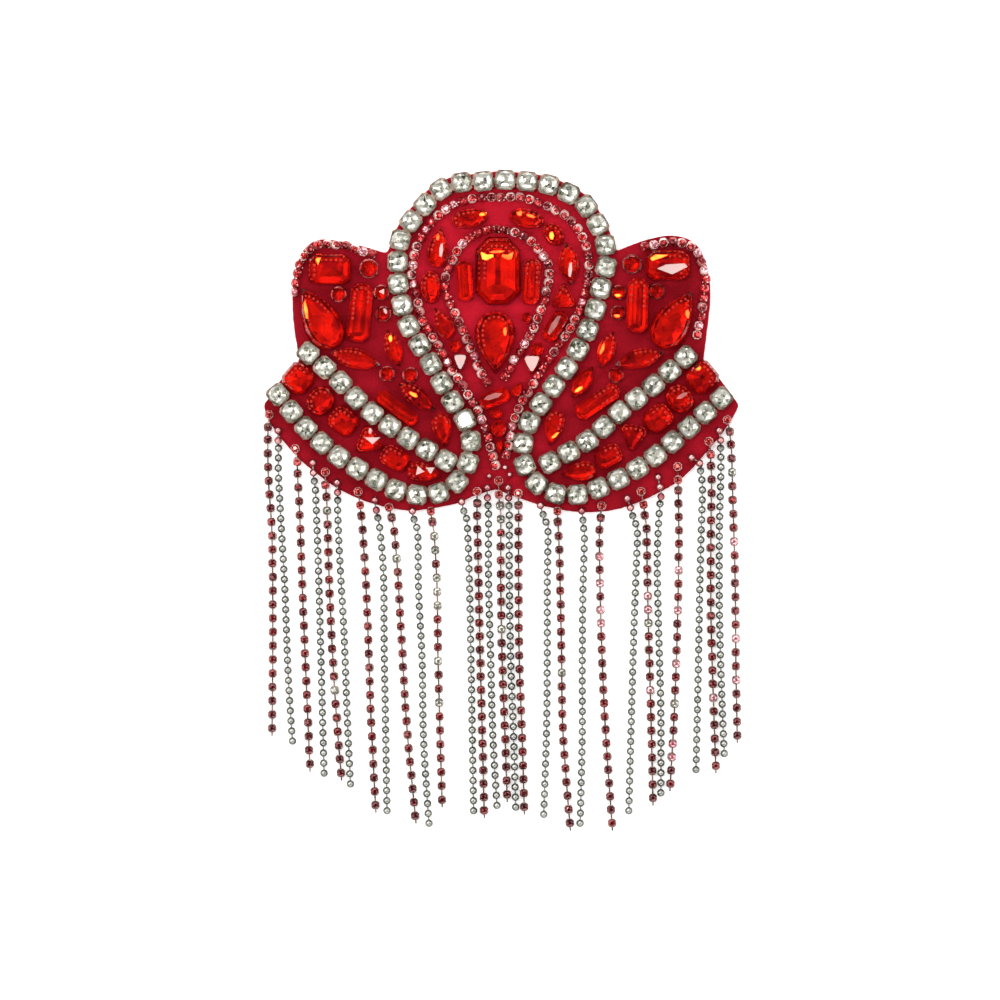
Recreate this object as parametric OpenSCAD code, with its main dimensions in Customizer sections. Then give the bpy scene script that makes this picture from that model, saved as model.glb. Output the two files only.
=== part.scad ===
// Shoulder epaulette of red felt, red glass stones and clear crystals in metal cups, with a fringe
// of fine chains. It lies face up: the back of the felt is at Z = 0, +Y points to the loop at the top
// and the fringe runs towards -Y. The origin is at the middle of the felt's width, 48 mm above its lower edge.

/* [Felt backing] */
// Width of the felt across the tips of the two petals
felt_w = 133; // [130:1:144]
// Height of the felt from the top of the loop to the lower edge
felt_h = 95.5; // [94:0.5:104]
// Thickness of the felt
felt_t = 2; // [1.5:0.25:3]

/* [Clear crystals] */
// Side of a clear crystal, which is a square with cut corners
crystal_side = 4.9; // [4.4:0.05:4.95]
// Height of a clear crystal from its flat back to its table
crystal_h = 2.6; // [2.2:0.1:3.2]
// Side of a metal cup that holds a crystal
cup_side = 5.5; // [5.4:0.05:5.6]
// Height of the wall of a cup above its floor
cup_wall_h = 1.4; // [1:0.1:1.8]
// Thickness of the metal under a crystal
cup_floor = 0.3; // [0.2:0.05:0.5]
// Distance from one cup to the next along a chain
cup_pitch = 6.1; // [6:0.05:6.8]
// Width of the metal bar that joins two cups
bar_w = 1.6; // [1:0.1:2.4]
// Width of a prong at a corner of a cup
prong_w = 0.9; // [0.6:0.1:1.2]
// Height of a prong above the wall of its cup
prong_h = 0.7; // [0.5:0.05:0.9]

/* [Red stones] */
// Height of the large red stones
large_stone_h = 4.2; // [3.2:0.1:5.5]
// Height of the small red stones
small_stone_h = 3.2; // [2.4:0.1:4.2]
// Share of a red stone's width that its flat table takes
table_share = 0.6; // [0.45:0.01:0.75]
// Share of a red stone's height that its girdle takes
girdle_share = 0.35; // [0.2:0.05:0.5]

/* [Rhinestone trim] */
// Width of a line of tiny rhinestones
trim_d = 2.2; // [1.8:0.1:2.4]

/* [Fringe] */
// Reach of the longest strand below the felt
fringe_len = 89; // [70:1:110]
// Thickness of a rhinestone strand
stone_strand_d = 2.2; // [1.8:0.05:2.3]
// Thickness of a ball chain strand
ball_strand_d = 2; // [1.6:0.05:2.1]
// Distance beyond the felt's edge in which a strand comes down to the ground
drape_len = 3.2; // [3:0.1:3.6]
// Length that a strand runs on level past the felt's edge before it comes down
level_len = 0.8; // [0.6:0.1:1.2]

/* [Fit] */
// Gap between a sewn piece and the felt under it
sewn_gap = 0.1; // [0.05:0.05:0.3]
// Gap between a crystal and the wall of its cup
cup_gap = 0.12; // [0.1:0.02:0.16]
// Gap between a crystal's crown and the lip of a prong
prong_gap = 0.15; // [0.1:0.05:0.2]

/* [Hidden] */
$fn = 32;
TUBE_SIDES = 8;
ROUND_SIDES = 8;
FELT_STEPS = 3;
ROUTE_STEPS = 8;
X = 0;
Y = 1;

// The tables below are drawn on a chart that the size of the felt stretches
CHART_W = 133;
CHART_H = 95.5;
CHART_FRINGE = 89;
chart_x = felt_w / CHART_W;
chart_y = felt_h / CHART_H;
stone_scale = min(chart_x, chart_y);
seat_z = felt_t + sewn_gap;

// A crystal: table and girdle as shares of its width and height
crystal_table = 0.56;
crystal_girdle = 0.45;
crystal_cut = 0.25 * crystal_side;
corner_reach = (crystal_side - crystal_cut) / sqrt(2);
pocket_side = crystal_side + 2 * cup_gap;
pocket_cut = crystal_cut + cup_gap * (2 - sqrt(2));
// The corners of a cup are cut off, and a prong stands a little inside the cut and outside the pocket
corner_cut = 0.16 * cup_side;
prong_setback = 0.1;
prong_out = (cup_side - corner_cut) / sqrt(2) - prong_setback;
prong_in = corner_reach + cup_gap + prong_setback;
lip_z = cup_floor + cup_wall_h + 0.5 * prong_h;
lip_share = (lip_z - cup_floor - sewn_gap - crystal_girdle * crystal_h) / ((1 - crystal_girdle) * crystal_h);
lip_in = corner_reach * (1 - (1 - crystal_table) * max(0, lip_share)) + prong_gap;

// Outline of the felt in smooth runs from corner to corner: left wing, left petal above and below
// its tip, right petal below and above its tip, right wing, loop
FELT_RUNS = [
    [[-31.8, 24.5], [-41, 27], [-50, 28.5], [-55, 26], [-57.5, 20.5], [-58.5, 12.5], [-58, 3.5], [-56.5, -5.5]],
    [[-56.5, -5.5], [-61, -10], [-66.5, -18]],
    [[-66.5, -18], [-65, -22.5], [-61.5, -27.5], [-55.5, -34], [-45.5, -41.5], [-34.5, -46], [-24, -47.5],
        [-12.5, -45.5], [-8, -43.5], [-1.5, -41.5]],
    [[-1.5, -41.5], [5, -44], [13, -46.5], [23, -48], [33, -47], [42, -43.5], [50.5, -38.5], [57.5, -31],
        [63.5, -23.5], [66.5, -18]],
    [[66.5, -18], [61, -10.5], [56.5, -5.5]],
    [[56.5, -5.5], [57.5, 2.5], [58.5, 13], [57.5, 21], [54, 27.5], [47.5, 29.5], [39.5, 28], [31.8, 25]],
    [[31.8, 25], [30.9, 29], [28.5, 34.4], [24.6, 40], [18.6, 43.8], [13, 46], [6.5, 47], [-0.5, 47.5], [-7.5, 46.8],
        [-14.5, 45.7], [-20.2, 42.6], [-24.8, 37.8], [-28.5, 33], [-30.8, 28.2], [-31.8, 24.5]],
];

// Routes of the chains and trims that are sewn to the felt
BORDER_ROUTE = [
    [-62.5, -15], [-55, -24], [-46, -32], [-35.5, -38.5], [-30, -41.5], [-24, -43], [-19, -43], [-13, -40],
    [-9.5, -34.5], [-8.5, -28.5], [-10, -22.5], [-14, -16.5], [-20.5, -5], [-26.5, 5.5], [-29, 17], [-29, 22],
    [-28.5, 27.5], [-26, 32.5], [-18, 41.5], [-12.5, 44], [-6, 44.5], [0.5, 45], [11.5, 44], [17, 42],
    [22.5, 39], [26, 34], [28.5, 29], [29.5, 23], [28.5, 18], [25.5, 6.5], [20.5, -4], [13, -15], [9, -20.5],
    [6.5, -26.5], [6, -33], [9, -39], [14.5, -42.5], [21, -43], [26.5, -41.5], [37.5, -36], [47.5, -28.5],
    [61.5, -16],
];
LEFT_ROW_ROUTE = [[-54, -3.5], [-46, -10.5], [-37, -19.5], [-26.5, -27], [-15.5, -33.5]];
RIGHT_ROW_ROUTE = [[13.5, -34], [24, -28], [33, -20], [43, -12], [51.5, -4.5]];
LOOP_TRIM_ROUTE = [
    [1, -33], [1.8, -29.5], [2.8, -24.5], [5, -18.5], [8.5, -12.5], [12, -7], [15.5, -2], [19, 3], [21.5, 8],
    [23.3, 13], [24.3, 18], [24.5, 22.5], [23.5, 27], [21, 31.5], [17, 35.5], [12, 38], [5.5, 40], [-0.5, 40],
    [-6.5, 40], [-12.5, 38.5], [-16.5, 36], [-20, 32.5], [-22.5, 29], [-24, 25], [-24.8, 20.5], [-24.8, 16.5],
    [-23.5, 11.5], [-22.5, 6.5], [-19.5, 1.5], [-17, -3], [-13.5, -8.5], [-10, -14], [-6.5, -20], [-4, -26],
    [-3, -30.5], [-1.5, -36],
];
DROP_TRIM_ROUTE = [
    [-3.5, -12.5], [-5.5, -9], [-8.5, -2], [-10, 1.5], [-12, 5.5], [-14, 10], [-15.5, 14], [-15.5, 18.5],
    [-13.5, 23], [-11, 27], [-7.5, 29.5], [-3.5, 31], [0.5, 31], [4.5, 30], [8, 28], [11, 25], [13, 21.5],
    [13.5, 17.5], [12.5, 13.5], [12, 10.5], [10, 6], [8, 1.5], [5, -3], [2.5, -7.5], [0.5, -11],
];
LEFT_WING_TRIM_ROUTE = [
    [-35, 24], [-39, 25], [-43.5, 26.5], [-48, 27], [-52, 26.5], [-55, 24], [-56.5, 20.5], [-57.5, 16.5],
    [-58, 12.5],
];
RIGHT_WING_TRIM_ROUTE = [
    [39, 26], [43.5, 27], [47.5, 27.5], [51.5, 27], [54.5, 25], [56.5, 21], [57, 17], [56.5, 12], [56, 7.5],
    [55, 3.5], [54.5, 0.5],
];

// Red stones: shape, place of the middle, size across and along, turn of the long axis from +Y
SHAPE = 0;
AT = 1;
SIZE = 2;
TURN = 3;
CENTRE_STONE = [["step", [-1, 19.5], [12.5, 19], 0]];
CENTRE_DROP = [["drop", [-1.8, -0.5], [11.5, 17.5], 180]];
CENTRE_SIDE_STONES = [["step", [-10.3, 16.8], [4.4, 11.5], 4], ["step", [8.4, 16.5], [5, 13], -3]];
RING_STONES = [
    ["oval", [-9, 34.2], [5.5, 10.5], -80],
    ["oval", [7, 34.2], [5.5, 10], 80],
    ["oval", [14.5, 29.8], [5.5, 7], 35],
    ["navette", [18.8, 21.5], [6, 12], 6],
    ["trillion", [17.4, 12.5], [6.5, 6.5], 0],
    ["step", [15, 4.2], [4.6, 9.5], -32],
    ["oval", [10, -2.2], [3.6, 3.6], 0],
    ["oval", [7, 6.5], [3, 3], 0],
    ["drop", [-17.6, 26.2], [6, 11.5], -8],
    ["oval", [-19.8, 15], [5.8, 9.5], 0],
    ["drop", [-16.4, 5], [5.4, 9.5], 27],
    ["oval", [-13, -1.4], [3.6, 3.6], 0],
];
LOWER_STONES = [
    ["trillion", [-11.5, -6], [4, 4.5], 180],
    ["trillion", [8.5, -6.5], [5, 5], 180],
    ["step", [-2, -16], [4.4, 9], -70],
    ["drop", [4.5, -13.5], [3, 4.5], -30],
    ["oval", [-1.5, -20.3], [3.5, 3], 0],
    ["oval", [-0.75, -24.5], [4.5, 5], 0],
    ["drop", [-0.5, -29.5], [2, 4], 180],
];
LEFT_WING_STONE = [["cushion", [-48, 20], [12, 8.6], 0]];
LEFT_WING_PEAR = [["drop", [-51, 6.5], [11, 19], 30]];
LEFT_WING_BAGUETTE = [["step", [-39.5, 7.8], [6.4, 16.5], -6]];
LEFT_WING_NAVETTES = [["navette", [-30.2, -2], [5, 11], 18], ["navette", [-40.8, -5], [6, 14.5], 76]];
LEFT_CHATONS = [
    ["oval", [-37, 20.2], [5, 5], 0],
    ["oval", [-45.5, 13], [4, 4], 0],
    ["oval", [-33.5, 13.5], [4, 4], 0],
    ["oval", [-33, 7.5], [4, 4], 0],
    ["oval", [-32, -9.2], [4, 4], 0],
    ["oval", [-25.5, -9.5], [4, 4], 0],
];
LEFT_LOWER_STONES = [
    ["step", [-29.2, -18.8], [4, 13.5], 53],
    ["navette", [-23.6, -15.6], [5.4, 13], 53],
    ["drop", [-16.5, -25], [5.6, 9.6], 190],
];
LEFT_PETAL_STONES = [
    ["cushion", [-56.7, -10.5], [8, 8], -40],
    ["step", [-50.6, -16.8], [8, 7], 52],
    ["cushion", [-44.2, -22.4], [8, 7.2], -38],
    ["trillion", [-37.2, -27.4], [7.8, 7], 8],
    ["cushion", [-29.9, -32.8], [8, 6], -30],
    ["drop", [-21.6, -36.8], [5.6, 10], -100],
];
RIGHT_WING_STONE = [["cushion", [46.5, 21.1], [12.4, 8.4], 0]];
RIGHT_WING_PEAR = [["drop", [48.4, 6], [10.5, 18], -32]];
RIGHT_WING_BAGUETTE = [["step", [38, 9.8], [6, 15.5], -2]];
RIGHT_WING_NAVETTES = [["navette", [29.4, -2.5], [5, 11], -20], ["navette", [38.6, -5], [5.8, 14], -76]];
RIGHT_CHATONS = [
    ["oval", [36.5, 21.5], [5, 5], 0],
    ["oval", [43.4, 13.8], [4, 4], 0],
    ["oval", [32.7, 13.5], [3.8, 3.8], 0],
    ["oval", [32.5, 7.8], [3.8, 3.8], 0],
    ["oval", [32, -9.6], [4, 4], 0],
];
RIGHT_LOWER_STONES = [
    ["step", [26.8, -17], [4.8, 14], -56],
    ["navette", [22.6, -11.6], [4.6, 10.5], -34],
    ["drop", [14.5, -24.4], [5.6, 10], 166],
];
RIGHT_PETAL_STONES = [
    ["cushion", [56, -10.2], [8.4, 8], 40],
    ["step", [49.8, -16.2], [8, 6.8], -52],
    ["cushion", [43.8, -21.6], [8, 7], 38],
    ["trillion", [36.8, -27], [7.6, 7], 172],
    ["cushion", [29.9, -32.2], [7.6, 5.8], 28],
    ["drop", [21.5, -36.6], [5.6, 9.8], 100],
];

// Strands: name, thickness, and a route whose first point is where it is sewn on and whose second
// is where it leaves the edge of the felt
NAME = 0;
THICK = 1;
ROUTE = 2;
STRANDS = [
    ["strand_left_1", stone_strand_d,
        [[-64.8, -19.5], [-65.2, -22.5], [-65.4, -28.5], [-65.2, -39], [-64.2, -55.5], [-64, -83.5], [-64.2, -109.5]]],
    ["strand_left_2", ball_strand_d,
        [[-62.4, -24], [-62.4, -26.5], [-62.4, -37], [-61.8, -48.5], [-60.6, -69.5], [-59.6, -95], [-58.4, -113]]],
    ["strand_left_3", stone_strand_d,
        [[-57.8, -29], [-57.2, -32.5], [-57, -39], [-56.4, -50], [-55.6, -72.5], [-54.8, -91.5], [-53.6, -119.5]]],
    ["strand_left_4", ball_strand_d,
        [[-52.8, -33], [-52.6, -36.5], [-52, -43], [-51.4, -58.5], [-50.8, -78], [-50.2, -100.5], [-49.6, -122]]],
    ["strand_left_5", stone_strand_d,
        [[-49.2, -35.5], [-49.2, -39], [-48.8, -47.5], [-48.4, -61.5], [-47.6, -81], [-46.4, -102], [-44.8, -122]]],
    ["strand_left_6", ball_strand_d,
        [[-46, -38.5], [-45.8, -41], [-45.8, -48], [-45.2, -61.5], [-44, -82.5], [-43.2, -103.5], [-42.2, -125]]],
    ["strand_left_7", stone_strand_d,
        [[-40.2, -41], [-39.6, -45], [-39, -51.5], [-38, -67], [-37.2, -85.5], [-36.6, -103.5], [-35.2, -131]]],
    ["strand_left_8", ball_strand_d,
        [[-35.6, -43.5], [-35.2, -46], [-34, -53], [-33, -65.5], [-32.8, -86.5], [-32.4, -109], [-32, -132.5]]],
    ["strand_left_9", stone_strand_d,
        [[-31.8, -45.5], [-31.4, -46.5], [-30, -53], [-29, -65.5], [-27.8, -86.5], [-26.4, -109], [-24, -134]]],
    ["strand_left_10", ball_strand_d,
        [[-25, -46.5], [-25, -47.5], [-23.4, -54.5], [-23.2, -69.5], [-22.2, -89.5], [-21.8, -111.5], [-20.2, -136]]],
    ["strand_left_11", stone_strand_d,
        [[-19.8, -46.5], [-19.8, -47.5], [-18.8, -54.5], [-18, -69.5], [-17.8, -86.5], [-17.2, -109], [-16.6, -129.5]]],
    ["strand_middle_1", ball_strand_d,
        [[-11.4, -44], [-11, -45.5], [-9.6, -51.5], [-9, -67], [-8.6, -86.5], [-8.2, -109], [-7.8, -132.5]]],
    ["strand_middle_2", stone_strand_d,
        [[-6.8, -41], [-6.8, -43.5], [-6.8, -50], [-6.4, -67], [-6, -86.5], [-5.4, -109], [-4.8, -132.5]]],
    ["strand_middle_3", ball_strand_d,
        [[-4, -40], [-4, -42.5], [-3.6, -48.5], [-3.6, -67], [-3, -89.5], [-2.4, -110.5], [-1.2, -131]]],
    ["strand_middle_4", stone_strand_d,
        [[-0.8, -38], [-0.8, -42], [-0.2, -48.5], [-0.2, -67], [0.2, -89.5], [1, -110.5], [1.6, -128]]],
    ["strand_middle_5", ball_strand_d,
        [[1.8, -40], [2, -43], [2.2, -50], [2.2, -67], [2.6, -89.5], [3.4, -110.5], [4, -131.5]]],
    ["strand_middle_6", stone_strand_d,
        [[4.6, -41.5], [4.8, -44], [4.8, -50], [4.8, -67], [5, -89.5], [5.8, -110.5], [6.4, -131.5]]],
    ["strand_right_1", ball_strand_d,
        [[10.6, -45], [11, -46.5], [13, -53], [12.8, -67], [12.8, -86.5], [12.6, -109], [11.8, -133.5]]],
    ["strand_right_2", stone_strand_d,
        [[15.6, -46.5], [15.6, -47.5], [16, -53.5], [16.4, -67], [16.8, -86.5], [17.2, -109], [19.2, -136]]],
    ["strand_right_3", ball_strand_d,
        [[22.2, -46.5], [22.6, -48], [23.2, -55.5], [22.8, -69.5], [22.6, -89.5], [22.6, -110.5], [22, -136]]],
    ["strand_right_4", stone_strand_d,
        [[28.2, -45], [27.8, -48], [27.4, -55], [27.6, -69.5], [28.2, -89.5], [29.2, -110.5], [31, -136]]],
    ["strand_right_5", ball_strand_d,
        [[34.8, -43], [36, -46.5], [38, -53.5], [37.6, -65.5], [37, -82.5], [36.4, -103.5], [35.6, -132.5]]],
    ["strand_right_6", stone_strand_d,
        [[38.8, -41], [39.6, -45], [40.6, -52], [40.8, -65.5], [41.2, -82.5], [41.8, -103.5], [42.4, -129]]],
    ["strand_right_7", ball_strand_d,
        [[43.6, -37], [44.6, -42], [44, -50.5], [43.6, -62.5], [44, -81], [44.6, -103.5], [44.6, -127.5]]],
    ["strand_right_8", stone_strand_d,
        [[49.2, -34], [49.4, -39.5], [49.6, -48.5], [49.6, -61.5], [49.2, -81], [48.4, -103.5], [47.2, -125]]],
    ["strand_right_9", ball_strand_d,
        [[52.2, -32], [55.4, -33.5], [56.2, -41.5], [55.8, -55.5], [55.4, -72.5], [55, -95], [54.4, -121]]],
    ["strand_right_10", stone_strand_d,
        [[57.8, -27], [58.4, -30.5], [58.8, -39], [58.6, -55.5], [58.6, -75.5], [59.2, -97.5], [60, -120]]],
    ["strand_right_11", ball_strand_d,
        [[60.6, -24], [61.2, -27], [61.4, -36], [61, -53], [61, -75.5], [61.6, -97.5], [62.4, -116.5]]],
    ["strand_right_12", stone_strand_d,
        [[62.8, -21], [63.6, -23.5], [64.4, -31], [64.8, -46], [65.4, -67], [65.6, -89.5], [66, -111.5]]],
];

function on_chart(p) = [p[X] * chart_x, p[Y] * chart_y];
function all_on_chart(points) = [for (p = points) on_chart(p)];

// Smooth curve through the points, as points
function curve_at(a, b, c, d, t) =
    0.5 * (2 * b + (c - a) * t + (2 * a - 5 * b + 4 * c - d) * t * t + (3 * b - a - 3 * c + d) * t * t * t);
function curve(points, steps) = concat(
    [for (i = [0 : len(points) - 2], k = [0 : steps - 1])
        curve_at(points[max(i - 1, 0)], points[i], points[i + 1], points[min(i + 2, len(points) - 1)], k / steps)],
    [points[len(points) - 1]]
);

// Length of each step along a line of points, and the length up to each point
function step_lengths(points) = [for (i = [0 : len(points) - 2]) norm(points[i + 1] - points[i])];
function running_sum(values) = [
    for (i = 0, sum = 0; i <= len(values); sum = sum + (i < len(values) ? values[i] : 0), i = i + 1) sum
];
function last_before(values, limit) = max([for (i = [0 : len(values) - 2]) if (values[i] <= limit) i]);

// Places at even distances along a route: middle of each piece and the heading of the route there
MIDDLE = 0;
HEADING = 1;
function places(route, pitch) = let(
    line = curve(all_on_chart(route), ROUTE_STEPS),
    upto = running_sum(step_lengths(line)),
    total = upto[len(upto) - 1],
    gaps = round(total / pitch)
) [
    for (n = [0 : gaps]) let(
        s = total * n / gaps,
        i = last_before(upto, s),
        step = line[i + 1] - line[i]
    ) [line[i] + step * (s - upto[i]) / norm(step), atan2(step[Y], step[X])]
];

// Closed outlines of cut stones with half sizes a across and b along, anticlockwise from the top
function octagon(a, b, cut_a, cut_b) = [
    [cut_a - a, b], [-a, b - cut_b], [-a, cut_b - b], [cut_a - a, -b],
    [a - cut_a, -b], [a, cut_b - b], [a, b - cut_b], [a - cut_a, b]
];
function oval_outline(a, b) = [
    for (i = [0 : ROUND_SIDES - 1]) let(u = (i + 0.5) * 360 / ROUND_SIDES) [-a * sin(u), b * cos(u)]
];
// Two bows that meet in a point at both ends
function navette_outline(a, b) = concat(
    [for (t = [1, 0.6, 0.2, -0.2, -0.6]) [-a * (1 - t * t), b * t]],
    [for (t = [-1, -0.6, -0.2, 0.2, 0.6]) [a * (1 - t * t), b * t]]
);
// A teardrop with its point at the top; the divisor makes it reach its full width
function drop_outline(a, b) = [
    for (u = [0, 50, 85, 115, 150, 180, 210, 245, 275, 310]) [-a * sin(u) * sin(u / 2) / 0.77, b * cos(u)]
];
// A triangle of three bowed sides with blunted corners, shifted and stretched to fill its width and height
function trillion_outline(a, b) = [
    for (corner = [0 : 2], side = [[-9, 1], [9, 1], [60, 0.68]]) let(u = corner * 120 + side[0])
        [-a * sin(u) * side[1] / 0.93, b * (cos(u) * side[1] - 0.15) / 0.83]
];
function outline_of(shape, a, b) =
    shape == "step" ? octagon(a, b, 0.56 * min(a, b), 0.56 * min(a, b)) :
    shape == "cushion" ? octagon(a, b, 0.35 * a, 0.35 * b) :
    shape == "navette" ? navette_outline(a, b) :
    shape == "drop" ? drop_outline(a, b) :
    shape == "trillion" ? trillion_outline(a, b) :
    oval_outline(a, b);

// Solid between closed rings of points that lie over each other
module stacked(rings) {
    sides = len(rings[0]);
    points = [for (ring = rings, p = ring) p];
    walls = [
        for (r = [0 : len(rings) - 2], i = [0 : sides - 1]) let(j = (i + 1) % sides)
            [r * sides + i, (r + 1) * sides + i, (r + 1) * sides + j, r * sides + j]
    ];
    floor_face = [for (i = [0 : sides - 1]) i];
    top_face = [for (i = [sides - 1 : -1 : 0]) (len(rings) - 1) * sides + i];
    polyhedron(points = points, faces = concat([floor_face, top_face], walls));
}

// Flat-backed cut stone: base, girdle and table of one outline
module cut_stone(outline, height, girdle, table) {
    layers = [[0, 1], [girdle * height, 1], [height, table]];
    stacked([for (layer = layers) [for (p = outline) [p[X] * layer[1], p[Y] * layer[1], layer[0]]]]);
}

// Tube along points in space, with flat sides below and above
module tube(points, thickness) {
    last = len(points) - 1;
    corner_r = thickness / 2 / cos(180 / TUBE_SIDES);
    stacked([
        for (i = [0 : last]) let(
            ahead = points[min(i + 1, last)] - points[max(i - 1, 0)],
            side = [-ahead[Y], ahead[X], 0] / norm([ahead[X], ahead[Y]]),
            up = cross(ahead / norm(ahead), side)
        ) [
            for (k = [0 : TUBE_SIDES - 1]) let(u = (k + 0.5) * 360 / TUBE_SIDES)
                points[i] + corner_r * (cos(u) * side + sin(u) * up)
        ]
    ]);
}

module backing() {
    outline = [
        for (run = FELT_RUNS)
            let(line = curve(all_on_chart(run), FELT_STEPS))
                for (i = [0 : len(line) - 2]) line[i]
    ];
    color("crimson")
        linear_extrude(felt_t)
            polygon(outline);
}

// Flat shapes of a chain of cups: the cups or their pockets, the bars between them and the prongs
module cup_squares(spots, side, cut) {
    for (spot = spots)
        translate(spot[MIDDLE])
            rotate(spot[HEADING])
                polygon(octagon(side / 2, side / 2, cut, cut));
}

module cup_bars(spots) {
    for (i = [0 : len(spots) - 2]) {
        step = spots[i + 1][MIDDLE] - spots[i][MIDDLE];
        translate((spots[i][MIDDLE] + spots[i + 1][MIDDLE]) / 2)
            rotate(atan2(step[Y], step[X]))
                square([norm(step) - pocket_side, bar_w], center = true);
    }
}

module cup_prongs(spots, inner) {
    for (spot = spots)
        translate(spot[MIDDLE])
            for (corner = [45 : 90 : 315])
                rotate(spot[HEADING] + corner)
                    translate([inner, -prong_w / 2])
                        square([prong_out - inner, prong_w]);
}

// Chain of metal cups, built up in layers: floor, walls, prongs and the lips over the crystals
module cup_chain(route) {
    spots = places(route, cup_pitch);
    color("silver")
        translate([0, 0, seat_z]) {
            linear_extrude(cup_floor) {
                cup_squares(spots, cup_side, corner_cut);
                cup_bars(spots);
            }
            translate([0, 0, cup_floor])
                linear_extrude(cup_wall_h)
                    difference() {
                        cup_squares(spots, cup_side, corner_cut);
                        cup_squares(spots, pocket_side, pocket_cut);
                    }
            translate([0, 0, cup_floor + cup_wall_h])
                linear_extrude(prong_h / 2)
                    cup_prongs(spots, prong_in);
            translate([0, 0, lip_z])
                linear_extrude(prong_h / 2)
                    cup_prongs(spots, lip_in);
        }
}

// Crystals on the floors of their cups, with a cut corner under each prong
module crystals(route) {
    outline = octagon(crystal_side / 2, crystal_side / 2, crystal_cut, crystal_cut);
    color("gainsboro")
        for (spot = places(route, cup_pitch))
            translate([spot[MIDDLE][X], spot[MIDDLE][Y], seat_z + cup_floor + sewn_gap])
                rotate(spot[HEADING])
                    cut_stone(outline, crystal_h, crystal_girdle, crystal_table);
}

module red_stones(rows, height) {
    color("firebrick")
        for (row = rows) {
            middle = on_chart(row[AT]);
            half = row[SIZE] * stone_scale / 2;
            translate([middle[X], middle[Y], seat_z])
                rotate(row[TURN])
                    cut_stone(outline_of(row[SHAPE], half[X], half[Y]), height, girdle_share, table_share);
        }
}

module trim(route) {
    z = seat_z + trim_d / 2;
    color("indianred")
        tube([for (p = all_on_chart(route)) [p[X], p[Y], z]], trim_d);
}

// Height of a strand at a distance beyond where it starts to come down
function drape_z(beyond, r) = r + seat_z * (1 + cos(180 * min(1, max(0, beyond / drape_len)))) / 2;

// A strand starts on the felt, comes down past its edge and runs on along the ground
module strand(name) {
    row = STRANDS[search([name], STRANDS)[0]];
    r = row[THICK] / 2;
    start = on_chart(row[ROUTE][0]);
    edge = on_chart(row[ROUTE][1]);
    reach = fringe_len / CHART_FRINGE;
    run = [
        for (i = [2 : len(row[ROUTE]) - 1]) let(p = row[ROUTE][i])
            [p[X] * chart_x, edge[Y] + (p[Y] - row[ROUTE][1][Y]) * reach]
    ];
    away = (run[0] - edge) / norm(run[0] - edge);
    line = concat(
        [[start[X], start[Y], seat_z + r]],
        [for (share = [0, 0.34, 0.67, 1]) let(p = edge + away * (level_len + share * drape_len))
            [p[X], p[Y], drape_z(share * drape_len, r)]],
        [for (p = run) [p[X], p[Y], r]]
    );
    color(row[THICK] == ball_strand_d ? "silver" : "firebrick")
        tube(line, row[THICK]);
}

backing();
cup_chain(BORDER_ROUTE);  // border_cups
crystals(BORDER_ROUTE);  // border_crystals
cup_chain(LEFT_ROW_ROUTE);  // left_row_cups
crystals(LEFT_ROW_ROUTE);  // left_row_crystals
cup_chain(RIGHT_ROW_ROUTE);  // right_row_cups
crystals(RIGHT_ROW_ROUTE);  // right_row_crystals
trim(LOOP_TRIM_ROUTE);  // loop_trim
trim(DROP_TRIM_ROUTE);  // drop_trim
trim(LEFT_WING_TRIM_ROUTE);  // left_wing_trim
trim(RIGHT_WING_TRIM_ROUTE);  // right_wing_trim
red_stones(CENTRE_STONE, large_stone_h);  // centre_stone
red_stones(CENTRE_DROP, large_stone_h);  // centre_drop
red_stones(CENTRE_SIDE_STONES, small_stone_h);  // centre_side_stones
red_stones(RING_STONES, small_stone_h);  // ring_stones
red_stones(LOWER_STONES, small_stone_h);  // lower_stones
red_stones(LEFT_WING_STONE, large_stone_h);  // left_wing_stone
red_stones(LEFT_WING_PEAR, large_stone_h);  // left_wing_pear
red_stones(LEFT_WING_BAGUETTE, large_stone_h);  // left_wing_baguette
red_stones(LEFT_WING_NAVETTES, small_stone_h);  // left_wing_navettes
red_stones(LEFT_CHATONS, small_stone_h);  // left_chatons
red_stones(LEFT_LOWER_STONES, small_stone_h);  // left_lower_stones
red_stones(LEFT_PETAL_STONES, small_stone_h);  // left_petal_stones
red_stones(RIGHT_WING_STONE, large_stone_h);  // right_wing_stone
red_stones(RIGHT_WING_PEAR, large_stone_h);  // right_wing_pear
red_stones(RIGHT_WING_BAGUETTE, large_stone_h);  // right_wing_baguette
red_stones(RIGHT_WING_NAVETTES, small_stone_h);  // right_wing_navettes
red_stones(RIGHT_CHATONS, small_stone_h);  // right_chatons
red_stones(RIGHT_LOWER_STONES, small_stone_h);  // right_lower_stones
red_stones(RIGHT_PETAL_STONES, small_stone_h);  // right_petal_stones
strand("strand_left_1");  // strand_left_1
strand("strand_left_2");  // strand_left_2
strand("strand_left_3");  // strand_left_3
strand("strand_left_4");  // strand_left_4
strand("strand_left_5");  // strand_left_5
strand("strand_left_6");  // strand_left_6
strand("strand_left_7");  // strand_left_7
strand("strand_left_8");  // strand_left_8
strand("strand_left_9");  // strand_left_9
strand("strand_left_10");  // strand_left_10
strand("strand_left_11");  // strand_left_11
strand("strand_middle_1");  // strand_middle_1
strand("strand_middle_2");  // strand_middle_2
strand("strand_middle_3");  // strand_middle_3
strand("strand_middle_4");  // strand_middle_4
strand("strand_middle_5");  // strand_middle_5
strand("strand_middle_6");  // strand_middle_6
strand("strand_right_1");  // strand_right_1
strand("strand_right_2");  // strand_right_2
strand("strand_right_3");  // strand_right_3
strand("strand_right_4");  // strand_right_4
strand("strand_right_5");  // strand_right_5
strand("strand_right_6");  // strand_right_6
strand("strand_right_7");  // strand_right_7
strand("strand_right_8");  // strand_right_8
strand("strand_right_9");  // strand_right_9
strand("strand_right_10");  // strand_right_10
strand("strand_right_11");  // strand_right_11
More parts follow.
